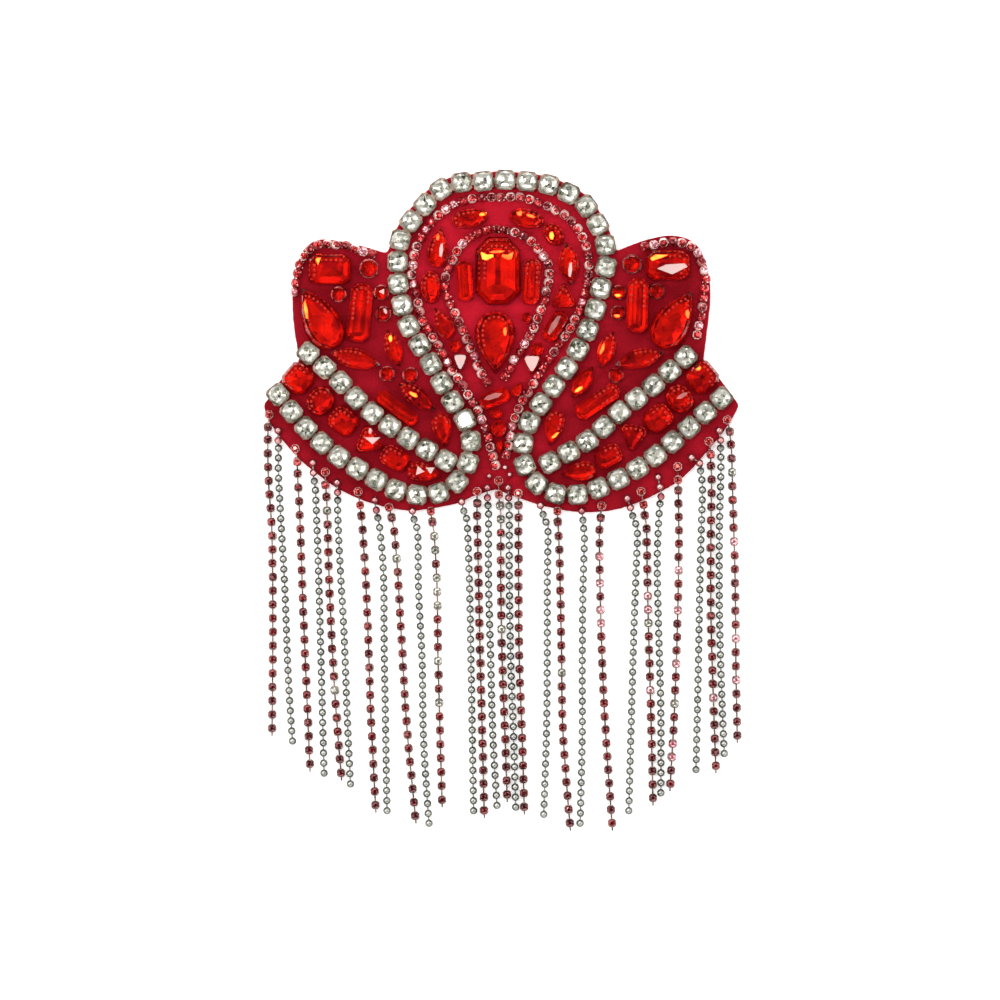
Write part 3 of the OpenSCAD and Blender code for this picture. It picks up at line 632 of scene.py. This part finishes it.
for node in STONE_NODES:
    stones = Shape()
    levels = []
    for ring, low, high in solids(node):
        cut = Cut(ring, 1.0)
        girdle = low + GIRDLE_SHARE * (high - low)
        lit = any((cut.middle - Vector(place)).length < LIT_REACH for place in LIT_TABLES)
        add_red_stone(stones, cut, low, high, lit)
        if node in CLAWED_NODES:
            add_claws(stones, cut, low, girdle)
        levels.append((cut, girdle, high))
    for flashes, slot, index in FLASH_KINDS:
        for form, place, size, turn in flashes.get(node, []):
            cut, girdle, high = min(levels, key=lambda level: level[0].gap(Vector(place)))
            level = girdle if slot == GOLD_GLINT else high
            add_flash(stones, form, Vector((*place, level)), size, turn, slot, index)
    stones.piece("cut_" + node, node, "red_stone",
                 [red_glass, red_foil, rim_shade_foil, dot_foil, painted_gold_glint, satin_glass, claw_metal, lit_glass])

# Clear crystals. Each is a clear glass crown over silver foil in rows of facets, every facet painted its own
# light or dark tone as painted reflection. It is clamped in its metal cup and leans a little its own way.
CRYSTAL_CROWN = (0.95, 0.72)
CRYSTAL_BULGE = 0.5
CRYSTAL_LEAN = 0.05
CRYSTAL_FOIL = ((0.80, 0.36), (0.40, 0.54), (0.12, 0.48))
LIT_CRYSTAL = Vector((-10, -22.5))
dice = random.Random(3)
for node in ["border_crystals", "left_row_crystals", "right_row_crystals"]:
    crystals = Shape()
    for ring, low, high in solids(node):
        cut = Cut(ring, CRYSTAL_BULGE)
        girdle = low + GIRDLE_SHARE * (high - low)
        lean = Vector((dice.uniform(-1, 1), dice.uniform(-1, 1))) * CRYSTAL_LEAN
        if (cut.middle - LIT_CRYSTAL).length < LIT_REACH:
            lean = slope_to_lamp(Vector((*cut.middle, high)))
        add_crown(crystals, cut, girdle, high, CRYSTAL_CROWN, lean)
        add_wall(crystals, cut, low, girdle, COAT)
        rows = [(share, sink * (girdle - low)) for share, sink in CRYSTAL_FOIL]
        add_foil(crystals, cut, girdle, rows, COAT)
    crystals.piece("cut_" + node, node, "clear_crystal", [clear_glass, silver_foil])

# Cups of the clear crystals. They are square cups of thin plated metal with a prong at each corner,
# joined by bars into rows and sewn to the felt. The CAD pieces have that full shape and stay.
# The cups' dark metal is partly painted shade.
for node in ["border_cups", "left_row_cups", "right_row_cups"]:
    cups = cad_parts[node].data.materials
    cups.clear()
    cups.append(cup_metal.material)

# Felt backing. It is one cut sheet of felt with rounded edges and a matted surface, and carries all
# the other pieces. The CAD outline is remeshed, softened and roughened.
FELT_GRID = 0.6
SOFTENING = 2
# Waves of the matted surface: depth, size and place in the noise.
MATTING = ((0.09, 1.2, 0), (0.06, 4, 9))
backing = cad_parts["backing"]
draft = bpy.data.objects.new("draft", backing.data.copy())
bpy.context.collection.objects.link(draft)
remesh = draft.modifiers.new("remesh", "REMESH")
remesh.mode, remesh.voxel_size = "VOXEL", FELT_GRID * MM
soften = draft.modifiers.new("soften", "SMOOTH")
soften.iterations = SOFTENING
felt_mesh = bpy.data.meshes.new_from_object(draft.evaluated_get(bpy.context.evaluated_depsgraph_get()))
bpy.data.objects.remove(draft)
outward = [vert.normal.copy() for vert in felt_mesh.vertices]
for vert, normal in zip(felt_mesh.vertices, outward):
    place = vert.co / MM
    lift = sum(depth * noise.noise(place / size + Vector((shift, 0, 0))) for depth, size, shift in MATTING)
    vert.co += normal * MM * lift
felt_mesh.polygons.foreach_set("use_smooth", [True] * len(felt_mesh.polygons))
felt_mesh.materials.clear()
felt_mesh.materials.append(felt_paint.material)
felt = bpy.data.objects.new("felt", felt_mesh)
bpy.context.collection.objects.link(felt)
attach(felt, "root")
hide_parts("backing")

# Chains. A rhinestone chain is a row of tiny stones in pronged metal cups with short links between,
# and a ball chain is a row of metal balls on a wire. Both follow smooth lines through chosen points.
STONE_CUP = 2.3
# Rows from the bottom up. Cup: share of its width, cut of its corners, level. Stone: share of the
# cup's width, level, turn. Prong: reach, half width and level, outside and inside.
CUP_ROWS = ((0.9, 0.5, -1.0), (1, 0.55, -0.85), (1, 0.55, 0.1), (0.92, 0.5, 0.16))
STONE_ROWS = ((0.96, 0.1, 0.5), (0.96, 0.25, 0.5), (0.66, 0.7, 0), (0.36, 0.86, 0.5))
PRONG_ROWS = (
    ((1.24, 0.18, -0.6), (1.0, 0.18, -0.6)),
    ((1.2, 0.16, 0.35), (0.98, 0.16, 0.35)),
    ((1.0, 0.1, 0.62), (0.78, 0.08, 0.58)),
)
LINK_SIDES = 6
LINK_INSET = STONE_CUP / 2 - 0.15
LINK_R = 0.22
LINK_LEVEL = -0.4
BALL_D = 2.15
BALL_PITCH = 2.8
BALL_SIDES = 14
BALL_TURNS = [math.radians(turn) for turn in (165, 140, 115, 90, 68, 48, 32, 20, 8)]
CROWN_RING = 6
WIRE_INSET = BALL_D / 2 - 0.1
WIRE_R = 0.2
NOD_SHARE = 0.6
METAL, RED, ROSE, PINK, CLEAR, LIT = range(6)
# Slots of a ball: painted lit crown and painted shaded side, plain and on the felt.
LIT_CROWN, SHADED_SIDE, FELT_LIT_CROWN, FELT_SHADED_SIDE = range(4)


def smooth_line(points, pieces=12):
    """A curve through the points, as many short pieces."""
    line = []
    for i in range(len(points) - 1):
        a, b = points[max(i - 1, 0)], points[i]
        c, d = points[i + 1], points[min(i + 2, len(points) - 1)]
        for k in range(pieces):
            t = k / pieces
            line.append(0.5 * (2 * b + (c - a) * t + (2 * a - 5 * b + 4 * c - d) * t * t
                               + (3 * b - a - 3 * c + d) * t * t * t))
    return line + [points[-1]]


def stations(line, pitch, margin):
    """Frames at even distances from end to end of a line, X along it and Z up."""
    steps = [(line[i + 1] - line[i]).length for i in range(len(line) - 1)]
    total = sum(steps)
    count = max(1, round((total - 2 * margin) / pitch))
    made, i, before = [], 0, 0.0
    for n in range(count + 1):
        target = margin + n * (total - 2 * margin) / count
        while i < len(steps) - 1 and before + steps[i] < target:
            before += steps[i]
            i += 1
        along = (line[i + 1] - line[i]).normalized()
        side = Vector((0, 0, 1)).cross(along).normalized()
        place = line[i] + along * (target - before)
        turn = Matrix((along, side, along.cross(side))).transposed().to_4x4()
        made.append(Matrix.Translation(place) @ turn)
    return made


def blunt_square(half, cut, level):
    """A square with its corners cut off, as a ring."""
    short = half - cut
    return [(half, short, level), (short, half, level), (-short, half, level), (-half, short, level),
            (-half, -short, level), (-short, -half, level), (short, -half, level), (half, -short, level)]


def add_rhinestone(shape, place, metal_slot, stone_slot):
    """A tiny stone in a square cup whose four prongs lean over it, about its own middle."""
    half = STONE_CUP / 2
    cup = [blunt_square(share * half, cut, level) for share, cut, level in CUP_ROWS]
    stone = [circle(share * half, level, turn=turn) for share, level, turn in STONE_ROWS]
    shape.stack(cup, metal_slot, place, floor=True, top=True)
    shape.stack(stone, stone_slot, place, top=True)
    add_prongs(shape, place, PRONG_ROWS, metal_slot)


def add_link(shape, a, b, inset, radius, level, slot):
    """A thin round link from one station to the next."""
    start, end = a @ Vector((inset, 0, level)), b @ Vector((-inset, 0, level))
    along = (end - start).normalized()
    side = Vector((0, 0, 1)).cross(along).normalized()
    up = along.cross(side)
    turns = [i * math.tau / LINK_SIDES for i in range(LINK_SIDES)]
    spokes = [radius * (math.cos(turn) * side + math.sin(turn) * up) for turn in turns]
    shape.stack([[p + spoke for spoke in spokes] for p in (start, end)], slot)


def add_ball(shape, place, lit_slot, shaded_slot):
    """A round bead of the ball chain, painted lighter on its crown as painted highlight and darker at its
    sides as painted shade.
    """
    radius = BALL_D / 2
    rings = [circle(radius * math.sin(turn), radius * math.cos(turn), BALL_SIDES) for turn in BALL_TURNS]
    shape.stack(rings[:CROWN_RING + 1], shaded_slot, place, floor=True)
    shape.stack(rings[CROWN_RING:], lit_slot, place, top=True)


def rhinestone_chain(line, pitch, tilt, slots, tail=0):
    """Shape of a chain of tiny stones, each tilted its own way, with metal and stone slots by place."""
    shape = Shape()
    spots = stations(line, pitch, STONE_CUP / 2)
    for i, spot in enumerate(spots):
        roll = Matrix.Rotation(dice.uniform(-tilt, tilt), 4, "X")
        nod = Matrix.Rotation(dice.uniform(-tilt, tilt) * NOD_SHARE, 4, "Y")
        add_rhinestone(shape, spot @ roll @ nod, *slots(spot.translation))
        if i:
            add_link(shape, spots[i - 1], spot, LINK_INSET, LINK_R, LINK_LEVEL, METAL)
    if tail:
        end = spots[-1] @ Matrix.Translation((tail, 0, 0))
        add_link(shape, spots[-1], end, LINK_INSET, LINK_R, LINK_LEVEL, METAL)
    return shape


def ball_chain(line, slots):
    """Shape of a chain of balls on a wire, with the slots of each ball's painted lit crown and shaded side
    by place.
    """
    shape = Shape()
    spots = stations(line, BALL_PITCH, BALL_D / 2)
    for i, spot in enumerate(spots):
        add_ball(shape, spot, *slots(spot.translation))
        if i:
            add_link(shape, spots[i - 1], spot, WIRE_INSET, WIRE_R, 0, SHADED_SIDE)
    return shape


# Rhinestone trims. They are chains of red stones in metal cups with no gap between them, sewn flat
# round the loop, round the drop inside it and along the edges of the wings.
SEAT = 2.1
TRIM_D = 2.2
TRIM_PITCH = 2.66
TRIM_TILT = 0.7
PALE_SHARE = 0.12
TRIM_RED, TRIM_PALE = 1, 2
TRIMS = {
    "loop_trim": [
        (1, -33), (1.8, -29.5), (2.8, -24.5), (5, -18.5), (8.5, -12.5), (12, -7), (15.5, -2), (19, 3),
        (21.5, 8), (23.3, 13), (24.3, 18), (24.5, 22.5), (23.5, 27), (21, 31.5), (17, 35.5), (12, 38),
        (5.5, 40), (-0.5, 40), (-6.5, 40), (-12.5, 38.5), (-16.5, 36), (-20, 32.5), (-22.5, 29),
        (-24, 25), (-24.8, 20.5), (-24.8, 16.5), (-23.5, 11.5), (-22.5, 6.5), (-19.5, 1.5), (-17, -3),
        (-13.5, -8.5), (-10, -14), (-6.5, -20), (-4, -26), (-3, -30.5), (-1.5, -36),
    ],
    "drop_trim": [
        (-3.5, -12.5), (-5.5, -9), (-8.5, -2), (-10, 1.5), (-12, 5.5), (-14, 10), (-15.5, 14),
        (-15.5, 18.5), (-13.5, 23), (-11, 27), (-7.5, 29.5), (-3.5, 31), (0.5, 31), (4.5, 30), (8, 28),
        (11, 25), (13, 21.5), (13.5, 17.5), (12.5, 13.5), (12, 10.5), (10, 6), (8, 1.5), (5, -3),
        (2.5, -7.5), (0.5, -11),
    ],
    "left_wing_trim": [
        (-35, 24), (-39, 25), (-43.5, 26.5), (-48, 27), (-52, 26.5), (-55, 24), (-56.5, 20.5),
        (-57.5, 16.5), (-58, 12.5),
    ],
    "right_wing_trim": [
        (39, 26), (43.5, 27), (47.5, 27.5), (51.5, 27), (54.5, 25), (56.5, 21), (57, 17), (56.5, 12),
        (56, 7.5), (55, 3.5), (54.5, 0.5),
    ],
}


def trim_slots(place):
    """Metal and stone of a trim, where a few stones are pale by chance."""
    return METAL, TRIM_PALE if dice.random() < PALE_SHARE else TRIM_RED


dice = random.Random(7)
for node, route in TRIMS.items():
    line = smooth_line([Vector((x, y, SEAT + TRIM_D / 2)) for x, y in route])
    chain = rhinestone_chain(line, TRIM_PITCH, TRIM_TILT, trim_slots)
    chain.piece("stones_" + node, node, "rhinestone_trim", [trim_metal_and_glints, trim_red, small_pink])

# Fringe strands. Each is sewn on at the felt's edge, comes down past it and runs along the ground,
# and rhinestone chains take turns with ball chains. A few of the stones are clear or pink.
LEVEL_LEN = 0.8
DRAPE_LEN = 3.2
FALL_STEPS = (0, 0.34, 0.67, 1)
BALL_STRAND_R = 1.0
STONE_STRAND_R = 1.1
STONE_PITCH = 3.8
STRAND_TILT = 0.16
ODD_REACH = 1.9
TAIL = 3.2
ON_FELT = 2.8
BALLS = "balls"
STONES = "stones"
STRANDS = {
    "strand_left_1": (STONES, [(-64.8, -19.5), (-65.2, -22.5), (-65.4, -28.5), (-65.2, -39), (-64.2, -55.5),
                               (-64, -83.5), (-64.2, -109.5)]),
    "strand_left_2": (BALLS, [(-62.4, -24), (-62.4, -26.5), (-62.4, -37), (-61.8, -48.5), (-60.6, -69.5),
                              (-59.6, -95), (-58.4, -113)]),
    "strand_left_3": (STONES, [(-57.8, -29), (-57.2, -32.5), (-57, -39), (-56.4, -50), (-55.6, -72.5),
                               (-54.8, -91.5), (-53.6, -119.5)]),
    "strand_left_4": (BALLS, [(-52.8, -33), (-52.6, -36.5), (-52, -43), (-51.4, -58.5), (-50.8, -78),
                              (-50.2, -100.5), (-49.6, -122)]),
    "strand_left_5": (STONES, [(-49.2, -35.5), (-49.2, -39), (-48.8, -47.5), (-48.4, -61.5), (-47.6, -81),
                               (-46.4, -102), (-44.8, -122)]),
    "strand_left_6": (BALLS, [(-46, -38.5), (-45.8, -41), (-45.8, -48), (-45.2, -61.5), (-44, -82.5),
                              (-43.2, -103.5), (-42.2, -125)]),
    "strand_left_7": (STONES, [(-40.2, -41), (-39.6, -45), (-39, -51.5), (-38, -67), (-37.2, -85.5),
                               (-36.6, -103.5), (-35.2, -131)]),
    "strand_left_8": (BALLS, [(-35.6, -43.5), (-35.2, -46), (-34, -53), (-33, -65.5), (-32.8, -86.5),
                              (-32.4, -109), (-32, -132.5)]),
    "strand_left_9": (STONES, [(-31.8, -45.5), (-31.4, -46.5), (-30, -53), (-29, -65.5), (-27.8, -86.5),
                               (-26.4, -109), (-24, -134)]),
    "strand_left_10": (BALLS, [(-25, -46.5), (-25, -47.5), (-23.4, -54.5), (-23.2, -69.5), (-22.2, -89.5),
                               (-21.8, -111.5), (-20.2, -136)]),
    "strand_left_11": (STONES, [(-19.8, -46.5), (-19.8, -47.5), (-18.8, -54.5), (-18, -69.5), (-17.8, -86.5),
                                (-17.2, -109), (-16.6, -129.5)]),
    "strand_middle_1": (BALLS, [(-11.4, -44), (-11, -45.5), (-9.6, -51.5), (-9, -67), (-8.6, -86.5),
                                (-8.2, -109), (-7.8, -132.5)]),
    "strand_middle_2": (STONES, [(-6.8, -41), (-6.8, -43.5), (-6.8, -50), (-6.4, -67), (-6, -86.5),
                                 (-5.4, -109), (-4.8, -132.5)]),
    "strand_middle_3": (BALLS, [(-4, -40), (-4, -42.5), (-3.6, -48.5), (-3.6, -67), (-3, -89.5),
                                (-2.4, -110.5), (-1.2, -131)]),
    "strand_middle_4": (STONES, [(-0.8, -38), (-0.8, -42), (-0.2, -48.5), (-0.2, -67), (0.2, -89.5),
                                 (1, -110.5), (1.6, -128)]),
    "strand_middle_5": (BALLS, [(1.8, -40), (2, -43), (2.2, -50), (2.2, -67), (2.6, -89.5), (3.4, -110.5),
                                (4, -131.5)]),
    "strand_middle_6": (STONES, [(4.6, -41.5), (4.8, -44), (4.8, -50), (4.8, -67), (5, -89.5), (5.8, -110.5),
                                 (6.4, -131.5)]),
    "strand_right_1": (BALLS, [(10.6, -45), (11, -46.5), (13, -53), (12.8, -67), (12.8, -86.5), (12.6, -109),
                               (11.8, -133.5)]),
    "strand_right_2": (STONES, [(15.6, -46.5), (15.6, -47.5), (16, -53.5), (16.4, -67), (16.8, -86.5),
                                (17.2, -109), (19.2, -136)]),
    "strand_right_3": (BALLS, [(22.2, -46.5), (22.6, -48), (23.2, -55.5), (22.8, -69.5), (22.6, -89.5),
                               (22.6, -110.5), (22, -136)]),
    "strand_right_4": (STONES, [(28.2, -45), (27.8, -48), (27.4, -55), (27.6, -69.5), (28.2, -89.5),
                                (29.2, -110.5), (31, -136)]),
    "strand_right_5": (BALLS, [(34.8, -43), (36, -46.5), (38, -53.5), (37.6, -65.5), (37, -82.5),
                               (36.4, -103.5), (35.6, -132.5)]),
    "strand_right_6": (STONES, [(38.8, -41), (39.6, -45), (40.6, -52), (40.8, -65.5), (41.2, -82.5),
                                (41.8, -103.5), (42.4, -129)]),
    "strand_right_7": (BALLS, [(43.6, -37), (44.6, -42), (44, -50.5), (43.6, -62.5), (44, -81),
                               (44.6, -103.5), (44.6, -127.5)]),
    "strand_right_8": (STONES, [(49.2, -34), (49.4, -39.5), (49.6, -48.5), (49.6, -61.5), (49.2, -81),
                                (48.4, -103.5), (47.2, -125)]),
    "strand_right_9": (BALLS, [(52.2, -32), (55.4, -33.5), (56.2, -41.5), (55.8, -55.5), (55.4, -72.5),
                               (55, -95), (54.4, -121)]),
    "strand_right_10": (STONES, [(57.8, -27), (58.4, -30.5), (58.8, -39), (58.6, -55.5), (58.6, -75.5),
                                 (59.2, -97.5), (60, -120)]),
    "strand_right_11": (BALLS, [(60.6, -24), (61.2, -27), (61.4, -36), (61, -53), (61, -75.5), (61.6, -97.5),
                                (62.4, -116.5)]),
    "strand_right_12": (STONES, [(62.8, -21), (63.6, -23.5), (64.4, -31), (64.8, -46), (65.4, -67),
                                 (65.6, -89.5), (66, -111.5)]),
}


def strand_line(route, radius):
    """The route in space: level on the felt, an even fall past its edge, then along the ground."""
    start, edge, *run = [Vector((x, y, radius)) for x, y in route]
    away = (run[0] - edge).normalized()
    points = [start + Vector((0, 0, SEAT))]
    for share in FALL_STEPS:
        fall = SEAT * (1 + math.cos(math.pi * share)) / 2
        points.append(edge + away * (LEVEL_LEN + share * DRAPE_LEN) + Vector((0, 0, fall)))
    return smooth_line(points + run)


ODD_STONES = {
    "strand_left_5": [(-48.4, CLEAR), (-98.3, CLEAR)],
    "strand_left_9": [(-62.4, CLEAR)],
    "strand_left_11": [(-54.9, CLEAR), (-58.5, CLEAR), (-66.1, CLEAR), (-70, CLEAR), (-73.6, CLEAR),
                       (-89.3, CLEAR), (-100.8, CLEAR)],
    "strand_middle_4": [(-45.9, CLEAR), (-50.6, CLEAR), (-80.4, CLEAR)],
    "strand_right_2": [(-93.2, CLEAR)],
    "strand_right_4": [(-59.6, PINK), (-67.2, PINK), (-75, PINK), (-79, PINK)],
    "strand_right_6": [(-71.1, PINK), (-75, PINK), (-78.7, CLEAR), (-98.3, PINK)],
    "strand_right_8": [(-63.3, PINK), (-74.8, PINK), (-89.9, PINK), (-101.1, CLEAR), (-112.3, PINK),
                       (-115.9, PINK)],
    "strand_right_10": [(-98.8, PINK)],
    "strand_right_12": [(-37.8, CLEAR), (-57.7, PINK), (-81.5, PINK), (-93, PINK)],
}
BALL_PAINTS = [ball_lit_crown, ball_shaded_side, rose_metal, rose_shaded_side]
STONE_PAINTS = [strand_metal, strand_red, rose_metal, small_pink, small_clear, lit_red]


def ball_slots(place):
    """Painted lit crown and painted shaded side of a ball, rosy where it lies on the felt."""
    return (FELT_LIT_CROWN, FELT_SHADED_SIDE) if place.z > ON_FELT else (LIT_CROWN, SHADED_SIDE)


def stone_slots(odd):
    """A choice of metal and stone by place, with the odd stones of one strand."""
    def choose(place):
        if place.z > ON_FELT:
            return ROSE, LIT
        near = [slot for level, slot in odd if abs(place.y - level) < ODD_REACH]
        return METAL, near[0] if near else RED
    return choose


for node, (kind, route) in STRANDS.items():
    if kind == BALLS:
        chain = ball_chain(strand_line(route, BALL_STRAND_R), ball_slots)
        chain.piece("balls_" + node, node, "ball_chain", BALL_PAINTS, smooth=True)
    else:
        line = strand_line(route, STONE_STRAND_R)
        choose = stone_slots(ODD_STONES.get(node, []))
        chain = rhinestone_chain(line, STONE_PITCH, STRAND_TILT, choose, TAIL)
        chain.piece("stones_" + node, node, "rhinestone_chain", STONE_PAINTS)

# Beads at the notch. Three small beads of silvery pink metal are sewn to the felt, under the point
# of the loop's trim.
NOTCH_BEAD_D = 1.6
FELT_TOP = 2.0
NOTCH_BEADS = [(1.0, -35.4), (2.3, -37.4), (-3.4, -37.8)]
beads = Shape()
for x, y in NOTCH_BEADS:
    seat = Matrix.Translation((x, y, FELT_TOP + NOTCH_BEAD_D / 2))
    add_ball(beads, seat @ Matrix.Scale(NOTCH_BEAD_D / BALL_D, 4), LIT_CROWN, SHADED_SIDE)
beads.piece("notch_beads", None, "ball_chain", [rose_metal, rose_shaded_side], smooth=True)

# Floor. It is a plain white table, lit a little from below as a photographer's light table is,
# and the epaulette lies loose on it.
FLOOR_HALF_M = 3
FLOOR_LEVEL_M = -0.0001
floor_paint = Paint("floor", Roughness=0.6, Emission_Color=(1, 1, 1, 1), Emission_Strength=0.4)
floor_tone = floor_paint.mixed(floor_paint.noise(60), (0.90, 0.90, 0.90), (0.92, 0.92, 0.92))
floor_paint.feed("Base Color", floor_tone)
floor_mesh = bpy.data.meshes.new("floor")
corners = [(-1, -1), (1, -1), (1, 1), (-1, 1)]
floor_points = [(x * FLOOR_HALF_M, y * FLOOR_HALF_M, FLOOR_LEVEL_M) for x, y in corners]
floor_mesh.from_pydata(floor_points, [], [(0, 1, 2, 3)])
floor_mesh.materials.append(floor_paint.material)
floor = bpy.data.objects.new("floor", floor_mesh)
bpy.context.collection.objects.link(floor)
